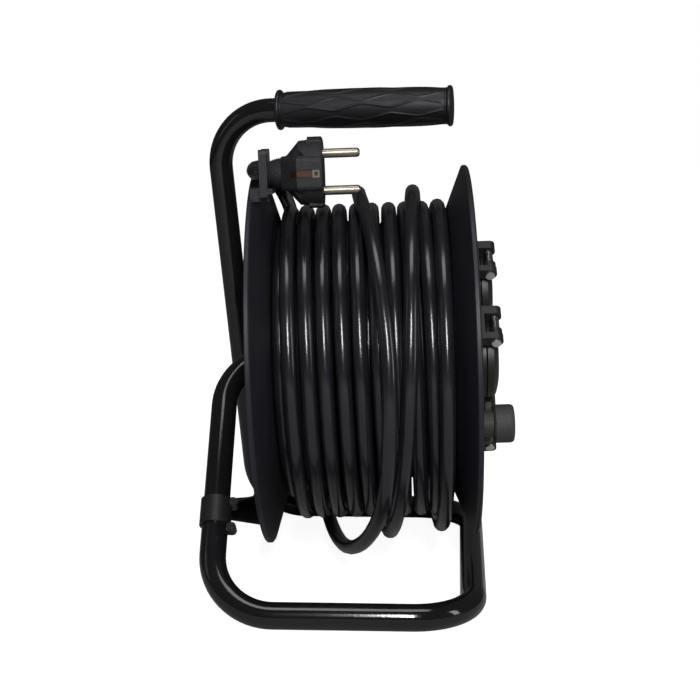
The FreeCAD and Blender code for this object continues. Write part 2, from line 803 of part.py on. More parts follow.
def plug_clip():
    """Fork on the rear flange that holds the end of the plug's strain relief."""
    y, z = PLUG_AXIS
    x0 = -44.7
    x1 = -40.6
    foot = z - 11.3
    shape = block(x0, x1, y - 10.8, y + 10.8, foot, z - 7.0)
    for side in (-1, 1):
        low, high = sorted((y + side * 6.45, y + side * 10.8))
        prong = block(x0, x1, low, high, foot, z + 10.6)
        tip = rod(x0, x1, (high - low) / 2, (low + high) / 2, z + 10.6)
        shape = shape.fuse(prong).fuse(tip)
    shape = shape.fuse(block(-50.6, x1, y - 3.0, y + 10.8, foot - 2.6, z - 7.0))
    shape = shape.fuse(block(x1 - 0.5, x1 + 2.4, y - 9.5, y + 9.5, foot + 1.4, z - 7.2))
    cone = turned([(REAR_WALL_X, 0), (REAR_WALL_X, 80.0), (REAR_RIM_X + WALL, 104.5),
                   (REAR_RIM_X + WALL, 105.02), (-60, 105.02), (-60, 0)])
    return on_drum(shape.cut(cone))


def plug_body():
    """Moulded plug: a round head, a flat grip through it, finger hollows and earth channels."""
    y, z = PLUG_AXIS
    face = PLUG_FACE
    head = turned([
        (face, 0),
        (face, PLUG_R - 0.8),
        (face - 0.8, PLUG_R - 0.3),
        (face - 12.3, PLUG_R - 1.4),
        (face - 18.5, 9.4),
        (face - 21.2, 7.8),
        (face - 21.2, 0),
    ])
    ears = turned([(face - 0.3, 0), (face - 0.3, PLUG_R), (face - 0.8, PLUG_R + 0.5),
                   (face - 7.7, PLUG_R + 0.5), (face - 7.7, 0)])
    tall = block(face - 8, face, -7.5, 7.5, -20, 20)
    shape = head.fuse(ears.common(tall))
    outline = [(face - 0.4, PLUG_R - 0.4), (face - 12.8, PLUG_R - 0.9), (face - 21.2, 8.6)]
    mirrored = [(px, -py) for px, py in reversed(outline)]
    points = [vec(px, py, -8.7) for px, py in outline + mirrored]
    bar = Part.Face(Part.makePolygon(points + points[:1])).extrude(vec(0, 0, 17.4))
    bar = bar.makeFillet(2.6, [e for e in bar.Edges if abs(e.tangentAt(0).z) < 0.01
                               and abs(e.tangentAt(0).x) > 0.3])
    shape = shape.fuse(bar)
    for side_y in (-1, 1):
        for side_z in (-1, 1):
            ends = sorted((side_z * 9.0, side_z * 20.0))
            hollow = upright(7.0, face - 15.4, side_y * 17.2, *ends)
            shape = shape.cut(hollow)
    for side in (-1, 1):
        low, high = sorted((side * (PLUG_R - 2.2), side * (PLUG_R + 2)))
        channel = block(face - 12.6, face - 1.2, low, high, -2.0, 2.0)
        shape = shape.cut(channel)
    shape.translate(vec(0, y, z))
    return on_drum(shape)


def plug_pins():
    y, z = PLUG_AXIS
    pins = []
    for side in (-1, 1):
        centre = z + side * CONTACT_PITCH / 2
        tip = PLUG_FACE + PLUG_PIN_LENGTH
        profile = [
            (PLUG_FACE, 0),
            (PLUG_FACE, PLUG_PIN_R),
            (tip - 1.2, PLUG_PIN_R),
            (tip - 0.3, PLUG_PIN_R - 0.7),
            (tip, 0.9),
            (tip, 0),
        ]
        pins.append(turned(profile, y, centre))
    return on_drum(Part.makeCompound(pins))


def plug_earth_strips():
    y, z = PLUG_AXIS
    strips = []
    for side in (-1, 1):
        low, high = sorted((y + side * (PLUG_R - 2.15), y + side * (PLUG_R - 1.25)))
        strips.append(block(PLUG_FACE - 12.5, PLUG_FACE - 5.0, low, high, z - 1.8, z + 1.8))
    return on_drum(Part.makeCompound(strips))


def plug_earth_contacts():
    """Square spring ends of the earth contacts, near the plug's face."""
    y, z = PLUG_AXIS
    contacts = []
    for side in (-1, 1):
        low, high = sorted((y + side * (PLUG_R - 2.15), y + side * (PLUG_R - 0.95)))
        frame = block(PLUG_FACE - 4.8, PLUG_FACE - 1.3, low, high, z - 1.9, z + 1.9)
        hole = block(PLUG_FACE - 3.9, PLUG_FACE - 2.2, low - 1, high + 1, z - 1.0, z + 1.0)
        contacts.append(frame.cut(hole))
    return on_drum(Part.makeCompound(contacts))


def plug_strain_relief():
    """Tapered sleeve with grooves round it and a flared mouth for the cord."""
    y, z = PLUG_AXIS
    start = PLUG_FACE - 21.2
    end = STRAIN_RELIEF_END
    profile = [(start, 0), (start, 7.2)]
    grooves = 6
    step = (start - end - 2.0) / grooves
    for i in range(grooves):
        x = start - step * i
        radius = 7.2 - 0.13 * i
        profile += [(x - step * 0.5, radius - 0.08), (x - step * 0.55, radius - 0.65),
                    (x - step * 0.92, radius - 0.7), (x - step, radius - 0.13)]
    profile += [(end + 0.5, 6.3), (end, 6.0), (end, CORD_R + 1.45), (end + 1, CORD_R + 0.75),
                (end + 2, CORD_R + 0.25), (CORD_END + 0.05, CORD_R + 0.06), (CORD_END + 0.05, 0)]
    return on_drum(turned(profile, y, z))


# Cord: a core for the inner layers, the outer layer with its slack turn, and the plug's lead

STRAIN_RELIEF_END = -42.8
CORD_END = -39.8
TAIL_POINTS = [
    (CORD_END, PLUG_AXIS[0], PLUG_AXIS[1]),
    (-48.6, PLUG_AXIS[0], PLUG_AXIS[1]),
    (-49.4, -32.5, 107.2),
    (-44.6, -15.0, 105.2),
]
TAIL_LAST_RUN = 17.0


def inner_windings():
    """Inner layers of the cord, as the plain core that the outer layer lies on."""
    return on_drum(ring(REAR_WALL_X + 0.2, POT_BACK - 0.3, CORE_R, BARREL_RADIUS + 0.05))


def winding_stations():
    """Quarter-turn stations (angle from the top, x, radius) from the lead inwards."""
    stations = [
        (16.0, -38.2, 90.4),
        (90.0, -33.5, 95.6),
        (140.0, -28.0, 101.0),
        (166.0, -21.5, 104.5),
        (197.0, -7.0, 109.0),
        (225.0, 10.5, 107.0),
        (248.0, 17.0, 102.4),
        (275.0, 18.6, 97.4),
        (315.0, 12.5, 92.4),
        (360.0, 4.0, 89.5),
        (450.0, 7.6, 94.0),
        (540.0, 13.6, 101.0),
        (630.0, 28.6, 94.4),
        (720.0, 34.0, 89.4),
        (810.0, 38.6, 93.8),
        (900.0, 43.6, 97.8),
        (990.0, 47.4, 92.4),
        (1080.0, 47.6, 81.0),
    ]
    first = 1080.0
    quarters = round(4 * LAYER_TURNS)
    for i in range(1, quarters + 1):
        share = i / quarters
        angle = first + 90.0 * i
        wander = 0.18 * math.sin(2.3 * i)
        x = LAYER_START_X + (LAYER_END_X - LAYER_START_X) * share + wander
        radius = LAYER_R - LAYER_SAG * math.cos(math.radians(angle))
        stations.append((angle, x, radius))
    angle = first + 90.0 * (quarters + 1)
    stations.append((angle, LAYER_END_X, 78.0))
    stations.append((angle + 60.0, LAYER_END_X, 70.0))
    return stations


def station_points(stations):
    points = []
    for angle, x, radius in stations:
        y, z = polar(radius, angle)
        points.append(vec(x, y, z))
    return points


def station_tangents(stations):
    """Directions at the stations, from the slopes of x and radius over the angle."""
    tangents = []
    last = len(stations) - 1
    for i, (angle, x, radius) in enumerate(stations):
        before = stations[max(i - 1, 0)]
        after = stations[min(i + 1, last)]
        sweep = math.radians(after[0] - before[0])
        slope_x = (after[1] - before[1]) / sweep
        slope_r = (after[2] - before[2]) / sweep
        a = math.radians(angle)
        radial = vec(0, math.sin(a), math.cos(a))
        round_way = vec(0, math.cos(a), -math.sin(a))
        tangents.append((vec(slope_x, 0, 0) + radial * slope_r + round_way * radius).normalize())
    return tangents


def arc_from(start, direction, end):
    """Arc that leaves start along a direction and ends at end."""
    chord = end - start
    cross = direction.cross(chord)
    if cross.Length < 1e-6 * chord.Length:
        return Part.LineSegment(start, end).toShape()
    normal = cross.normalize()
    inward = normal.cross(direction).normalize()
    radius = chord.Length ** 2 / (2 * chord.dot(inward))
    centre = start + inward * radius
    middle = centre + ((start + end) * 0.5 - centre).normalize() * radius
    return Part.Arc(start, middle, end).toShape()


def biarc(start, leave, end, arrive):
    """Two tangent arcs between two points with given directions."""
    chord = end - start
    total = leave + arrive
    a = 2 * (1 - leave.dot(arrive))
    b = 2 * chord.dot(total)
    c = -chord.dot(chord)
    if abs(a) < 1e-9:
        reach = -c / b
    else:
        reach = (-b + math.sqrt(b * b - 4 * a * c)) / (2 * a)
    joint = (start + end + (leave - arrive) * reach) * 0.5
    first = arc_from(start, leave, joint)
    heading = ((end - arrive * reach) - (start + leave * reach)).normalize()
    second = arc_from(joint, heading, end)
    return [first, second]


def winding_edges():
    stations = winding_stations()
    points = station_points(stations)
    tangents = station_tangents(stations)
    start = points[0] - tangents[0] * CORD_D
    edges = [Part.LineSegment(start, points[0]).toShape()]
    for i in range(len(points) - 1):
        edges += biarc(points[i], tangents[i], points[i + 1], tangents[i + 1])
    finish = points[-1] + tangents[-1] * CORD_D
    edges.append(Part.LineSegment(points[-1], finish).toShape())
    return edges


def sampled(edges, step):
    """Points along edges with the length at which each lies."""
    points = []
    length = 0.0
    for edge in edges:
        count = max(2, int(edge.Length / step) + 1)
        for point in edge.discretize(count)[:-1]:
            points.append((length, point))
            length += edge.Length / (count - 1)
    return points


def least_gap(edges):
    """Smallest free space between stretches of the cord that aren't neighbours."""
    points = sampled(edges, 4.0)
    least = 1e9
    where = None
    for i, (at, point) in enumerate(points):
        for far, other in points[i + 8:]:
            if abs(point.x - other.x) > 14:
                continue
            gap = point.distanceToPoint(other)
            if gap < least:
                least = gap
                where = (round(at), round(far), point)
    return least - CORD_D, where


def cable_winding():
    edges = winding_edges()
    tube = swept(edges, CORD_R)
    length = sum(edge.Length for edge in edges)
    gap, where = least_gap(edges)
    tightest = min(e.Curve.Radius for e in edges if hasattr(e.Curve, "Radius"))
    print("winding length %.0f gap %.2f at %s" % (length, gap, where))
    print("winding radius %.1f volume ratio %.4f" % (tightest, tube.Volume / (length * math.pi * CORD_R ** 2)))
    return on_drum(tube)


def cable_tail():
    """Lead from the winding over the rear flange's rim to the plug."""
    stations = winding_stations()
    heading = station_tangents(stations)[0]
    finish = station_points(stations)[0] - heading * CORD_D
    points = [vec(*p) for p in TAIL_POINTS] + [finish - heading * TAIL_LAST_RUN, finish]
    radii = cord_radii(points)
    edges = rounded_path(points, radii)
    tube = swept(edges, CORD_R)
    length = sum(edge.Length for edge in edges)
    print("tail length %.0f radii %s" % (length, [round(r, 1) for r in radii]))
    print("tail volume ratio %.4f" % (tube.Volume / (length * math.pi * CORD_R ** 2)))
    return on_drum(tube)


NODES = {
    "handle_tube": handle_tube,
    "base_loop": base_loop,
    "axle_leg": axle_leg,
    "handle_grip": handle_grip,
    "brace_arm": brace_arm,
    "brace_front": brace_front,
    "brace_screws": brace_screws,
    "axle_stop_collar": axle_stop_collar,
    "axle_washer": axle_washer,
    "axle_clip": axle_clip,
    "axle_plug": axle_plug,
    "rear_flange": rear_flange,
    "front_flange": front_flange,
    "barrel_screws": barrel_screws,
    "rear_bush": rear_bush,
    "front_bush": front_bush,
    "socket_panel": socket_panel,
    "panel_screws": panel_screws,
    "earth_clips": earth_clips,
    "contact_sleeves": contact_sleeves,
    "lid_hinge_pins": lid_hinge_pins,
    "lid_springs": lid_springs,
    "thermal_cutout": thermal_cutout,
    "reset_button": reset_button,
    "terminal_block": terminal_block,
    "cord_clamp": cord_clamp,
    "winding_knob": winding_knob,
    "knob_spindle": knob_spindle,
    "plug_clip": plug_clip,
    "plug_body": plug_body,
    "plug_pins": plug_pins,
    "plug_earth_strips": plug_earth_strips,
    "plug_earth_contacts": plug_earth_contacts,
    "plug_strain_relief": plug_strain_relief,
    "inner_windings": inner_windings,
    "cable_winding": cable_winding,
    "cable_tail": cable_tail,
}
CORD_NODES = {"plug_body", "plug_pins", "plug_earth_strips", "plug_earth_contacts", "plug_strain_relief",
              "inner_windings", "cable_winding", "cable_tail"}

box = FreeCAD.BoundBox()
for name, make in NODES.items():
    made = save(name, make())
    if name not in CORD_NODES:
        box.add(true_box(made))
for number, place in enumerate(socket_places(), start=1):
    save("socket_insert_%d" % number, socket_insert(place))
    save("socket_base_%d" % number, socket_base(place))
    save("hinge_block_%d" % number, on_drum(at_socket(hinge_block(), place)))
    lid = save("socket_lid_%d" % number, socket_lid(place))
    box.add(true_box(lid))

print("x %.2f to %.2f  y %.2f to %.2f  z %.2f to %.2f"
      % (box.XMin, box.XMax, box.YMin, box.YMax, box.ZMin, box.ZMax))
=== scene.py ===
"""Looks of the extension cord reel: finishes, cord, grip, springs, light and camera.

Lengths are in metres. The drum's own frame has its origin in the middle of the drum and
its x along the axle, which rises a little towards the sockets.
"""
import json
import math
import bpy
import numpy as np
from mathutils import Matrix, Vector


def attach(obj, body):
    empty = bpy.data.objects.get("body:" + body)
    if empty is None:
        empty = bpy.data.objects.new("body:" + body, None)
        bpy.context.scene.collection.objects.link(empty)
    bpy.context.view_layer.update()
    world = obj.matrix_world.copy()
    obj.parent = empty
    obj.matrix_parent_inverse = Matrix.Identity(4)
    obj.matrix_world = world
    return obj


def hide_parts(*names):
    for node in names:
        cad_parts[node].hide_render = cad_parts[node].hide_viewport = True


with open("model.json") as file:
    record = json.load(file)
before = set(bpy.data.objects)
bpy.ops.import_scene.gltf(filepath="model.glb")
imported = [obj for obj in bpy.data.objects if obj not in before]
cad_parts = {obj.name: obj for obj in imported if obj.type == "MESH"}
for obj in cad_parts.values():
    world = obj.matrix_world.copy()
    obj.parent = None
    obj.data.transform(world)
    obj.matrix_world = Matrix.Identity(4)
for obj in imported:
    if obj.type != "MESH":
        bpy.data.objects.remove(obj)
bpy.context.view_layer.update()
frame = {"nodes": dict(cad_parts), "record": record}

MM = 0.001
DRUM_MIDDLE = np.array([4.62, 0.0, 126.0]) * MM
AXLE_TILT = math.radians(2.37)


def on_drum(points):
    """Rows of millimetres in the drum's own frame, tilted with the axle, as metres."""
    x, y, z = np.asarray(points, float).T * MM
    c, s = math.cos(AXLE_TILT), math.sin(AXLE_TILT)
    return np.stack([x * c - z * s, y, x * s + z * c], axis=-1) + DRUM_MIDDLE


def polar(radius, degrees):
    """Place (y, z) at an angle from the top of the drum towards the far side."""
    a = np.radians(degrees)
    return radius * np.sin(a), radius * np.cos(a)


# Shader wiring

class Signal:
    """One output of a shader node, used in sums and products like a number."""

    def __init__(self, finish, socket):
        self.finish = finish
        self.socket = socket

    def maths(self, operation, *values):
        return self.finish.node("ShaderNodeMath", {"operation": operation}, values)

    def __add__(self, other):
        return self.maths("ADD", self, other)

    __radd__ = __add__

    def __mul__(self, other):
        return self.maths("MULTIPLY", self, other)

    __rmul__ = __mul__

    def __sub__(self, other):
        return self.maths("SUBTRACT", self, other)

    def __rsub__(self, other):
        return self.maths("SUBTRACT", other, self)

    def __truediv__(self, other):
        return self.maths("DIVIDE", self, other)

    def __pow__(self, other):
        return self.maths("POWER", self, other)

    def clipped(self):
        return self.finish.node("ShaderNodeClamp", {}, [self, 0.0, 1.0])


class Finish:
    """A material being made: adds nodes, wires them and sets the surface shader."""

    def __init__(self, name):
        self.material = bpy.data.materials.new(name)
        self.material.use_nodes = True
        self.tree = self.material.node_tree
        self.shader = self.tree.nodes["Principled BSDF"]

    def node(self, kind, settings, values, output=0):
        """Adds a node, sets it up, then feeds its sockets by place or by name."""
        made = self.tree.nodes.new(kind)
        for key, value in settings.items():
            setattr(made, key, value)
        pairs = values.items() if isinstance(values, dict) else enumerate(values)
        for key, value in pairs:
            self.feed(made.inputs[key], value)
        return Signal(self, made.outputs[output])

    def feed(self, socket, value):
        if isinstance(value, Signal):
            self.tree.links.new(value.socket, socket)
        else:
            socket.default_value = value

    def set(self, **values):
        """Surface sockets by name, with underscores for spaces."""
        for key, value in values.items():
            self.feed(self.shader.inputs[key.replace("_", " ")], value)

    def place(self):
        return self.node("ShaderNodeTexCoord", {}, {}, "Object")

    def noise(self, scale, detail=2.0, stretch=(1, 1, 1)):
        """Cloudy noise from 0 to 1, in cycles per metre, drawn out along an axis."""
        at = self.node("ShaderNodeMapping", {}, {"Vector": self.place(), "Scale": stretch})
        return self.node("ShaderNodeTexNoise", {}, {"Vector": at, "Scale": scale, "Detail": detail})

    def cells(self, scale):
        return self.node("ShaderNodeTexVoronoi", {}, {"Vector": self.place(), "Scale": scale})

    def colours(self, amount, low, high):
        """Colour that goes from low to high as amount goes from 0 to 1."""
        return self.node("ShaderNodeMix", {"data_type": "RGBA"},
                         {0: amount, 6: (*low, 1), 7: (*high, 1)}, 2)

    def ridged(self, height, depth):
        """Bends the light over a height map, depth in metres."""
        bump = self.node("ShaderNodeBump", {}, {"Height": height, "Distance": depth})
        self.set(Normal=bump)


def tube_paint():
    """Black stove enamel: deep gloss over a faint orange-peel skin."""
    finish = Finish("black_enamel")
    peel = finish.noise(520, 2)
    wear = finish.noise(34, 4)
    finish.set(Base_Color=finish.colours(wear, (0.004, 0.004, 0.005), (0.009, 0.009, 0.01)))
    finish.set(Roughness=wear * 0.06 + 0.08)
    finish.ridged(peel, 0.00002)
    return finish.material


def moulded(name, low, high, roughness, grain, depth):
    """Moulded plastic: fine spark-eroded grain, depth in metres, and a slow change in tone."""
    finish = Finish(name)
    tone = finish.noise(26, 5)
    pits = finish.noise(grain, 3)
    finish.set(Base_Color=finish.colours(tone, low, high))
    finish.set(Roughness=pits * 0.14 + (roughness - 0.07) + (tone - 0.5) * 0.1)
    finish.set(Specular_IOR_Level=0.36)
    finish.ridged(pits + tone * 0.2, depth)
    return finish.material


def cord_sheath():
    """Glossy PVC: long faint waves from the extruder and a slight bloom."""
    finish = Finish("cord_sheath")
    bloom = finish.noise(60, 4)
    waves = finish.noise(210, 2)
    finish.set(Base_Color=finish.colours(bloom, (0.006, 0.006, 0.008), (0.014, 0.014, 0.018)))
    finish.set(Roughness=bloom * 0.1 + 0.17)
    finish.ridged(waves, 0.00005)
    return finish.material


def metal(name, low, high, roughness, depth=0.00002, streak=(1, 1, 1)):
    """Bare or plated metal with fine drawn lines, depth in metres."""
    finish = Finish(name)
    lines = finish.noise(900, 3, streak)
    finish.set(Base_Color=finish.colours(lines, low, high), Metallic=1.0)
    finish.set(Roughness=lines * 0.12 + roughness)
    finish.ridged(lines, depth)
    return finish.material


BRACE_BLACK = ((0.006, 0.006, 0.007), (0.012, 0.012, 0.013))
GRIP_BLACK = ((0.004, 0.004, 0.006), (0.009, 0.009, 0.012))
DRUM_BLACK = ((0.007, 0.007, 0.011), (0.014, 0.014, 0.02))
PANEL_BLACK = ((0.008, 0.008, 0.009), (0.015, 0.015, 0.017))
LID_BLACK = ((0.008, 0.008, 0.009), (0.016, 0.016, 0.018))
INSERT_BLACK = ((0.007, 0.007, 0.008), (0.013, 0.013, 0.015))
KNOB_GREY = ((0.022, 0.022, 0.023), (0.038, 0.038, 0.04))
PLUG_BLACK = ((0.008, 0.008, 0.01), (0.016, 0.016, 0.019))
BUSH_IVORY = ((0.62, 0.6, 0.55), (0.72, 0.7, 0.64))
BUTTON_RED = ((0.36, 0.012, 0.012), (0.46, 0.02, 0.018))
NICKEL = ((0.25, 0.22, 0.18), (0.29, 0.255, 0.21))
STEEL = ((0.42, 0.42, 0.43), (0.58, 0.58, 0.6))
BLACK_STEEL = ((0.02, 0.02, 0.021), (0.035, 0.035, 0.037))
BRIGHT_STEEL = ((0.7, 0.7, 0.7), (0.84, 0.84, 0.84))
COIL_STEEL = ((0.1, 0.1, 0.1), (0.16, 0.16, 0.16))
BRASS = ((0.6, 0.42, 0.18), (0.72, 0.54, 0.28))
BRONZE = ((0.05, 0.03, 0.025), (0.08, 0.05, 0.042))

FINISHES = {
    "frame_paint": tube_paint(),
    "grip_rubber": moulded("grip_rubber", *GRIP_BLACK, 0.44, 2600, 0.00007),
    "brace_plastic": moulded("brace_plastic", *BRACE_BLACK, 0.42, 2200, 0.00007),
    "drum_plastic": moulded("drum_plastic", *DRUM_BLACK, 0.46, 1700, 0.0001),
    "panel_plastic": moulded("panel_plastic", *PANEL_BLACK, 0.42, 2200, 0.00007),
    "lid_plastic": moulded("lid_plastic", *LID_BLACK, 0.42, 2200, 0.00007),
    "insert_plastic": moulded("insert_plastic", *INSERT_BLACK, 0.4, 2200, 0.00005),
    "knob_plastic": moulded("knob_plastic", *KNOB_GREY, 0.56, 1500, 0.00032),
    "bush_plastic": moulded("bush_plastic", *BUSH_IVORY, 0.4, 1800, 0.00005),
    "cord_sheath": cord_sheath(),
    "plug_rubber": moulded("plug_rubber", *PLUG_BLACK, 0.5, 1900, 0.0003),
    "pin_nickel": metal("pin_nickel", *NICKEL, 0.27, 0.000001, (0.1, 1, 1)),
    "screw_steel": metal("screw_steel", *STEEL, 0.3),
    "screw_black": metal("screw_black", *BLACK_STEEL, 0.38),
    "spring_steel": metal("spring_steel", *BRIGHT_STEEL, 0.42),
    "contact_brass": metal("contact_brass", *BRASS, 0.3),
    "strip_bronze": metal("strip_bronze", *BRONZE, 0.42),
    "button_red": moulded("button_red", *BUTTON_RED, 0.32, 2000, 0.00003),
}

for part in frame["record"]["subparts"]:
    node = frame["nodes"][part["node"]]
    node.data.materials.clear()
    node.data.materials.append(FINISHES[part["material_slot"]])


def settle(piece, body, slot, *nodes):
    """Gives a new piece its finish, its body and the CAD nodes that it stands for."""
    piece.data.materials.clear()
    piece.data.materials.append(FINISHES[slot])
    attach(piece, body)
    if nodes:
        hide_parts(*nodes)
    return piece


def skin(name, *grids):
    """One mesh over grids of points, rings by places round them, each capped at both ends."""
    points = []
    faces = []
    for grid in grids:
        rings, around = grid.shape[:2]
        base = len(points)
        ring, place = np.meshgrid(np.arange(rings - 1), np.arange(around), indexing="ij")
        ahead = (place + 1) % around
        quads = np.stack([ring * around + place, ring * around + ahead,
                          (ring + 1) * around + ahead, (ring + 1) * around + place], axis=-1)
        faces += (quads.reshape(-1, 4) + base).tolist()
        faces.append(list(range(base, base + around))[::-1])
        faces.append(list(range(base + (rings - 1) * around, base + rings * around)))
        points += grid.reshape(-1, 3).tolist()
    mesh = bpy.data.meshes.new(name)
    mesh.from_pydata(points, [], faces)
    mesh.polygons.foreach_set("use_smooth", np.ones(len(faces), bool))
    made = bpy.data.objects.new(name, mesh)
    bpy.context.scene.collection.objects.link(made)
    return made


# Cord: inner layers, outer layer, slack turn and the lead to the plug

CORD_D = 8.0
PLUG_AXIS = (-49.5, 103.9)
CORD_END = -39.8
STRAIN_RELIEF_END = -42.8
POINTS_A_TURN = 24
INNER_RADII = (70.8, 61.4, 52.0)
INNER_TURNS = 7.5
INNER_ENDS = (-37.4, 23.6)
LAYER_TURNS = 9.25
LAYER_ENDS = (47.6, -36.2)
LAYER_R = 84.4
LAYER_SAG = 4.2
LAYER_SWAY = 0.18
STEP_DOWN_R = 78.0
BARREL_HOLE_R = 44.4

# Turns on top of the outer layer: angle from the top, x along the axle, radius
SECOND_LAYER = [
    (16.0, -38.2, 90.4), (90.0, -33.5, 95.6), (140.0, -28.0, 101.0), (166.0, -21.5, 104.5),
    (197.0, -7.0, 109.0), (225.0, 10.5, 107.0), (248.0, 17.0, 102.4), (275.0, 18.6, 97.4),
    (315.0, 12.5, 92.4), (360.0, 4.0, 89.5), (450.0, 7.6, 94.0), (540.0, 13.6, 101.0),
    (630.0, 28.6, 94.4), (720.0, 34.0, 89.4), (810.0, 38.6, 93.8), (900.0, 43.6, 97.8),
    (990.0, 47.4, 92.4), (1080.0, 47.6, 81.0),
]

LEAD = [
    (-39.2, 2.0, 94.2), (-44.6, -15.0, 105.2), (-49.4, -32.5, 107.2),
    (-48.6, *PLUG_AXIS), (CORD_END, *PLUG_AXIS),
]


def eased(angles, at, values):
    """Smooth curve through the stations that doesn't overshoot them."""
    step = np.diff(at)
    rise = np.diff(values) / step
    ahead, behind = rise[1:], rise[:-1]
    slope = np.concatenate([rise[:1], np.zeros(len(rise) - 1), rise[-1:]])
    same = ahead * behind > 0
    slope[1:-1][same] = 2 * (ahead * behind)[same] / (ahead + behind)[same]
    k = np.clip(np.searchsorted(at, angles, side="right") - 1, 0, len(step) - 1)
    t = (angles - at[k]) / step[k]
    return (values[k] * (2 * t**3 - 3 * t**2 + 1) + values[k + 1] * (3 * t**2 - 2 * t**3)
            + step[k] * (slope[k] * (t**3 - 2 * t**2 + t) + slope[k + 1] * (t**3 - t**2)))


def wound_route():
    """Angle, x and radius at even steps round the drum, from the lead inwards.

    The outer layer's radius is LAYER_R less LAYER_SAG times the cosine of its angle, as the
    layer hangs a little, and its x sways by LAYER_SWAY between its two ends.
    """
    stations = list(SECOND_LAYER)
    quarters = round(4 * LAYER_TURNS)
    layer_start = stations[-1][0]
    for i in range(1, quarters + 1):
        angle = layer_start + 90.0 * i
        x = LAYER_ENDS[0] + (LAYER_ENDS[1] - LAYER_ENDS[0]) * i / quarters
        x += LAYER_SWAY * math.sin(2.3 * i)
        stations.append((angle, x, LAYER_R - LAYER_SAG * math.cos(math.radians(angle))))
    stations.append((angle + 90.0, LAYER_ENDS[1], STEP_DOWN_R))
    stations.append((angle + 180.0, INNER_ENDS[0], INNER_RADII[0]))
    for number, radius in enumerate(INNER_RADII):
        angle = stations[-1][0] + INNER_TURNS * 360.0
        stations.append((angle, INNER_ENDS[1 - number % 2], radius))
        if number < 2:
            stations.append((angle + 70.0, INNER_ENDS[1 - number % 2], INNER_RADII[number + 1]))
    stations.append((stations[-1][0] + 60.0, INNER_ENDS[1] + 0.4, BARREL_HOLE_R))
    at, xs, radii = np.array(stations).T
    angles = np.arange(at[0], at[-1], 360.0 / POINTS_A_TURN)
    angles = np.append(angles, at[-1])
    return angles, eased(angles, at, xs), eased(angles, at, radii)


def cord_points():
    """Control points from the barrel out to the plug.

    A spline of second degree runs inside its points, so the turns' points stand out by
    one over the share (6 + 2 cos step) / 8 of the radius.
    """
    angles, xs, radii = wound_route()
    step = math.radians(360.0 / POINTS_A_TURN)
    y, z = polar(radii * 8 / (6 + 2 * math.cos(step)), angles)
    wound = np.stack([xs, y, z], axis=-1)[::-1]
    return on_drum(np.concatenate([wound, np.array(LEAD)]))


def cord():
    points = cord_points()
    curve = bpy.data.curves.new("cord", "CURVE")
    curve.dimensions = "3D"
    spline = curve.splines.new("NURBS")
    spline.points.add(len(points) - 1)
    spline.points.foreach_set("co", np.column_stack([points, np.ones(len(points))]).ravel())
    spline.order_u = 3
    spline.use_endpoint_u = True
    curve.resolution_u = 3
    curve.bevel_depth = CORD_D / 2 * MM
    curve.bevel_resolution = 4
    curve.use_fill_caps = True
    made = bpy.data.objects.new("cord", curve)
    bpy.context.scene.collection.objects.link(made)
    settle(made, "drum", "cord_sheath", "cable_winding", "cable_tail", "inner_windings")
    return made


# Handle grip

GRIP_TIP = np.array([55.02, 40.2, 263.8])
HANDLE_CORNER = np.array([-81.68, 59.8, 260.0])
GRIP_LENGTH = 103.0
GRIP_PAST_TIP = 3.2
TUBE_R = 7.05
GRIP_R = 10.0
GRIP_TAPER = 0.4
GRIP_BELLY = 1.0
RING_WIDTH = 2.9
ROUND_EDGE = 0.4
RIDGE_ROWS = 6
RIDGE_PERIOD = 33.0
RIDGE_START = 19.0
RIDGE_HEIGHT = 0.4
RIDGE_HALF_WIDTH = 0.55
RIDGE_SPREAD = 17.5
RIDGE_SWING = 7.5
ROW_ANGLE = -21.0
ROW_TWIST = 0.26
ROW_TWIST_START = 17.0
RIDGE_MARGIN = 4.2

# Ring at each end of the sleeve: distance from the end, radius
GRIP_RING = [
    (0.0, TUBE_R), (0.0, 10.9), (0.3, 11.4), (0.9, 11.75), (1.9, 11.75), (2.5, 11.35),
    (2.8, 10.7), (RING_WIDTH, GRIP_R),
]


def belly_radius(u):
    """Radius between the rings: a slow taper with a parabola on top."""
    share = (u - RING_WIDTH) / (GRIP_LENGTH - 2 * RING_WIDTH)
    return GRIP_R + GRIP_TAPER * share + 4 * GRIP_BELLY * share * (1 - share)


def ridge_height(u, angle, r):
    """Height of the ridges that weave along the sleeve, in pairs.

    A ridge follows the angle from the middle of its row that is RIDGE_SPREAD plus a zigzag
    of RIDGE_SWING degrees, and falls off as exp(-(distance / RIDGE_HALF_WIDTH) squared). The
    rows turn by ROW_TWIST degrees a millimetre. Close to the rings the ridges fade out.
    """
    zigzag = np.arcsin(0.97 * np.cos(2 * np.pi * (u - RIDGE_START) / RIDGE_PERIOD)) / np.arcsin(0.97)
    weave = np.radians(RIDGE_SPREAD + RIDGE_SWING * zigzag)
    row = 2 * np.pi / RIDGE_ROWS
    centre = np.radians(ROW_ANGLE + ROW_TWIST * (u - ROW_TWIST_START))
    off = np.abs((angle - centre + row / 2) % row - row / 2)
    away = (off - weave) * r
    from_end = np.minimum(u, GRIP_LENGTH - u)
    fade = np.clip((from_end - RIDGE_MARGIN) / 2.0, 0, 1)
    return RIDGE_HEIGHT * np.exp(-(away / RIDGE_HALF_WIDTH) ** 2) * fade


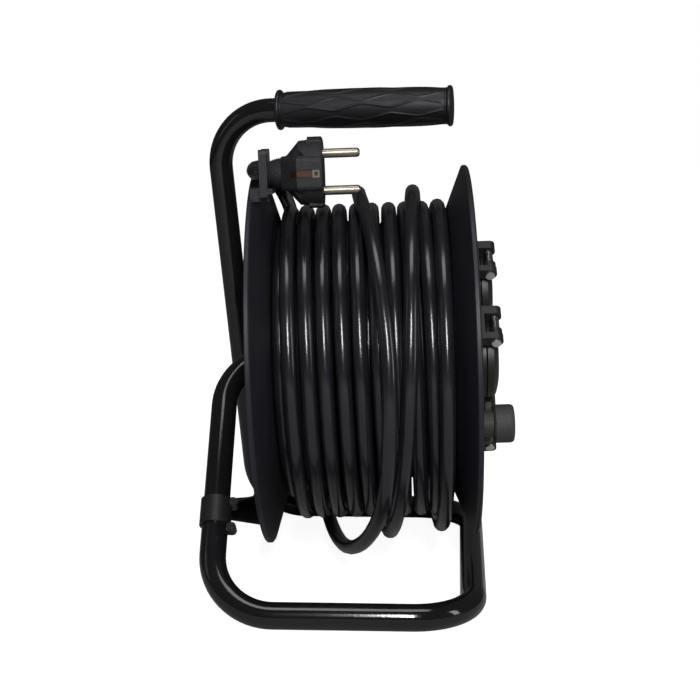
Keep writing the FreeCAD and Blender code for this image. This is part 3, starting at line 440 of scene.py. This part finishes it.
def grip():
    """Sleeve round the handle's bar, closed at its tip, with a ring at each end."""
    ring_u, ring_r = np.array(GRIP_RING).T
    belly_u = np.linspace(3.3, GRIP_LENGTH - 3.3, 240)
    belly_r = belly_radius(belly_u)
    belly_r[-1] += ROUND_EDGE
    along = np.concatenate([ring_u, belly_u, GRIP_LENGTH - ring_u[::-1], [GRIP_LENGTH]])
    radius = np.concatenate([ring_r, belly_r, ring_r[::-1], [0.05]])
    around = np.linspace(0.0, 2 * np.pi, 220, endpoint=False)
    u, angle = np.meshgrid(along, around, indexing="ij")
    r = np.repeat(radius[:, None], len(around), axis=1)
    r = r + ridge_height(u, angle, r)
    direction = (GRIP_TIP - HANDLE_CORNER) / np.linalg.norm(GRIP_TIP - HANDLE_CORNER)
    front = np.array([0.0, -1.0, 0.0])
    front -= direction * front.dot(direction)
    front /= np.linalg.norm(front)
    up = np.cross(front, direction)
    up *= np.sign(up[2])
    start = GRIP_TIP - direction * (GRIP_LENGTH - GRIP_PAST_TIP)
    grid = (start + u[..., None] * direction
            + (r * np.cos(angle))[..., None] * front + (r * np.sin(angle))[..., None] * up)
    return settle(skin("grip", grid * MM), "frame", "grip_rubber", "handle_grip")


grip()


# Torsion springs of the lids

HINGE_TURN = -48.8
ROW_HALF = 22.3
COLUMN_HALF = 23.5
PIN_X = 74.5
PIN_OFFSET = 25.2
COIL_R = 2.0
COIL_TURNS = 6.5
COIL_START = -2.2
COIL_LENGTH = 7.3
WIRE_R = 0.4


def coil(turn, side):
    """Wire wound on a helix round a hinge pin, as rings of points across its path."""
    lap = np.linspace(0.0, 2 * np.pi * COIL_TURNS, 157)
    path = np.stack([PIN_X + COIL_R * np.cos(lap), -PIN_OFFSET + COIL_R * np.sin(lap),
                     COIL_START + COIL_LENGTH * lap / lap[-1]], axis=-1)
    radial = np.stack([np.cos(lap), np.sin(lap), 0 * lap], axis=-1)
    ahead = np.gradient(path, axis=0)
    ahead /= np.linalg.norm(ahead, axis=1)[:, None]
    side_way = np.cross(ahead, radial)
    ring = np.linspace(0, 2 * np.pi, 8, endpoint=False)
    grid = (path[:, None] + WIRE_R * np.cos(ring)[None, :, None] * radial[:, None]
            + WIRE_R * np.sin(ring)[None, :, None] * side_way[:, None])
    x, y, z = np.moveaxis(grid, -1, 0)
    y, z = y - ROW_HALF, z + side * COLUMN_HALF
    c, s = math.cos(math.radians(turn)), math.sin(math.radians(turn))
    turned = np.stack([x, y * c - z * s, y * s + z * c], axis=-1)
    return on_drum(turned.reshape(-1, 3)).reshape(grid.shape)


COIL_WIRE = metal("coil_wire", *COIL_STEEL, 0.3)
COILS = [coil(HINGE_TURN + half, side) for half in (0.0, 180.0) for side in (1, -1)]
coils = settle(skin("coils", *COILS), "drum", "spring_steel", "lid_springs")
coils.data.materials[0] = COIL_WIRE


# Plug's strain relief and earth strips

PLUG_FACE = -12.2
PLUG_R = 17.8
SLEEVE_START = PLUG_FACE - 21.2
SLEEVE_FREE = -40.4
SLEEVE_R = 6.35
SLEEVE_FLARE = 1.75
SLEEVE_RIBS = 7
RIB_DEPTH = 0.5
STRIP_WIDTH = 3.4
STRIP_THICKNESS = 0.9
STRIP_OUT = PLUG_R - 1.25
STRIP_LOW = PLUG_R - 4.4
STRIP_STATIONS = (-5.0, -13.2, -16.6)


def placed(x, y, z):
    """Points round the plug's own axis, in millimetres, on the drum."""
    grid = np.stack([x, y + PLUG_AXIS[0], z + PLUG_AXIS[1]], axis=-1)
    return on_drum(grid.reshape(-1, 3)).reshape(grid.shape)


def strain_relief():
    """Ribbed sleeve that flares from the fork to the plug's body.

    The radius is SLEEVE_R + SLEEVE_FLARE t (2 - t) past the fork, t being the share of the
    way, less the grooves between the ribs, which are the low halves of a clipped sine.
    """
    ribbed = np.linspace(SLEEVE_FREE, SLEEVE_START, 120)
    share = (ribbed - SLEEVE_FREE) / (SLEEVE_START - SLEEVE_FREE)
    groove = RIB_DEPTH * np.clip(3 * np.sin(2 * np.pi * SLEEVE_RIBS * share), -1, 0)
    radius = SLEEVE_R + SLEEVE_FLARE * share * (2 - share) + groove
    end = STRAIN_RELIEF_END
    x = np.concatenate([[end, end, end + 0.4], ribbed, [SLEEVE_START + 0.3]])
    r = np.concatenate([[5.5, 5.9, 6.3], radius, [7.6]])
    turn = np.linspace(0, 2 * np.pi, 72, endpoint=False)
    grid = placed(x[:, None] + 0 * turn, r[:, None] * np.cos(turn), r[:, None] * np.sin(turn))
    return settle(skin("strain_relief", grid), "drum", "plug_rubber", "plug_strain_relief")


def earth_strips():
    """Two bent strips: level along the plug's grip, then down its slant."""
    half = STRIP_WIDTH / 2
    x = PLUG_FACE + np.array(STRIP_STATIONS)
    out = np.array([STRIP_OUT, STRIP_OUT, STRIP_LOW])
    deep = out - STRIP_THICKNESS
    z = np.repeat([[half, -half, -half, half]], len(x), axis=0)
    grids = []
    for side in (-1, 1):
        y = side * np.stack([out, out, deep, deep], axis=-1)
        grids.append(placed(np.repeat(x[:, None], 4, axis=1), y, z))
    strips = settle(skin("earth_strips", *grids), "drum", "strip_bronze", "plug_earth_strips")
    strips.data.polygons.foreach_set("use_smooth", np.zeros(len(strips.data.polygons), bool))
    return strips


strain_relief()
earth_strips()
cord()


# Stage, light and camera

LENS = 1331.0 * 36.0 / 700.0
CAMERA_PLACE = (0.02112, -0.7408, 0.2582)
CAMERA_LOOK = (-0.027, 0.984, -0.1736)
CAMERA_ROLL = math.radians(0.24)
FLOOR_HALF = 6.0
FLOOR_TONE = 0.5
FLOOR_GLOW = (0.93, 1.0)
GLOW_RADII = (0.3, 0.7)
MIRRORED_WHITE = 0.04
SKY_LIGHT = 0.03

# Lamps: name, place, aim, width and height, watts
LAMPS = [
    ("front", (0.11, -1.3, 0.8), (0, 0, 0.13), (0.16, 0.5), 16),
    ("top", (0.05, -0.3, 1.4), (0, 0, 0.1), (0.8, 0.5), 5),
    ("left", (-1.3, -0.45, 0.7), (0, 0, 0.13), (0.3, 0.7), 0.4),
    ("right", (1.2, -0.5, 0.5), (0, 0, 0.15), (0.22, 0.7), 2.6),
]


def floor():
    """Pale sheet, seen as nearly white, that keeps the object's shadow."""
    mesh = bpy.data.meshes.new("floor")
    corners = [(x * FLOOR_HALF, y * FLOOR_HALF, 0) for x, y in ((-1, -1), (1, -1), (1, 1), (-1, 1))]
    mesh.from_pydata(corners, [], [(0, 1, 2, 3)])
    made = bpy.data.objects.new("floor", mesh)
    bpy.context.scene.collection.objects.link(made)
    finish = Finish("floor")
    path = finish.node("ShaderNodeLightPath", {}, {}, "Is Camera Ray")
    away = finish.node("ShaderNodeVectorMath", {"operation": "LENGTH"}, [finish.place()], "Value")
    near, far = GLOW_RADII
    low, high = FLOOR_GLOW
    glow = ((away - near) / (far - near)).clipped() * (high - low) + low
    finish.set(Base_Color=(FLOOR_TONE, FLOOR_TONE, FLOOR_TONE, 1), Roughness=0.9, Specular_IOR_Level=0.0)
    finish.set(Emission_Color=(1, 1, 1, 1), Emission_Strength=path * glow)
    mesh.materials.append(finish.material)
    return made


def backdrop():
    """White to the camera, dim grey in reflections, and dimmer still as a light."""
    world = bpy.data.worlds.new("studio")
    bpy.context.scene.world = world
    world.use_nodes = True
    tree = world.node_tree
    path = tree.nodes.new("ShaderNodeLightPath")
    mirrored = tree.nodes.new("ShaderNodeMath")
    mirrored.operation = "ADD"
    tree.links.new(path.outputs["Is Glossy Ray"], mirrored.inputs[0])
    tree.links.new(path.outputs["Is Transmission Ray"], mirrored.inputs[1])
    dim = tree.nodes.new("ShaderNodeMath")
    dim.operation = "MULTIPLY_ADD"
    tree.links.new(mirrored.outputs[0], dim.inputs[0])
    dim.inputs[1].default_value = MIRRORED_WHITE
    dim.inputs[2].default_value = SKY_LIGHT
    mix = tree.nodes.new("ShaderNodeMix")
    tree.links.new(path.outputs["Is Camera Ray"], mix.inputs[0])
    tree.links.new(dim.outputs[0], mix.inputs[2])
    mix.inputs[3].default_value = 1.0
    background = tree.nodes["Background"]
    background.inputs["Color"].default_value = (1, 1, 1, 1)
    tree.links.new(mix.outputs[0], background.inputs["Strength"])


def lamp(name, place, aim, size, power):
    data = bpy.data.lights.new(name, "AREA")
    data.shape = "RECTANGLE"
    data.size, data.size_y = size
    data.energy = power
    made = bpy.data.objects.new(name, data)
    made.location = place
    made.rotation_mode = "QUATERNION"
    made.rotation_quaternion = (Vector(aim) - Vector(place)).to_track_quat("-Z", "Y")
    bpy.context.scene.collection.objects.link(made)
    return made


def camera():
    data = bpy.data.cameras.new("camera")
    data.lens = LENS
    data.sensor_width = 36.0
    data.clip_start = 0.01
    made = bpy.data.objects.new("camera", data)
    made.location = CAMERA_PLACE
    made.rotation_mode = "QUATERNION"
    turn = Vector(CAMERA_LOOK).to_track_quat("-Z", "Y")
    made.rotation_quaternion = turn @ Matrix.Rotation(CAMERA_ROLL, 3, "Z").to_quaternion()
    bpy.context.scene.collection.objects.link(made)
    bpy.context.scene.camera = made
    return made


floor()
backdrop()
for lamp_values in LAMPS:
    lamp(*lamp_values)
camera()
bpy.context.scene.view_settings.view_transform = "Standard"
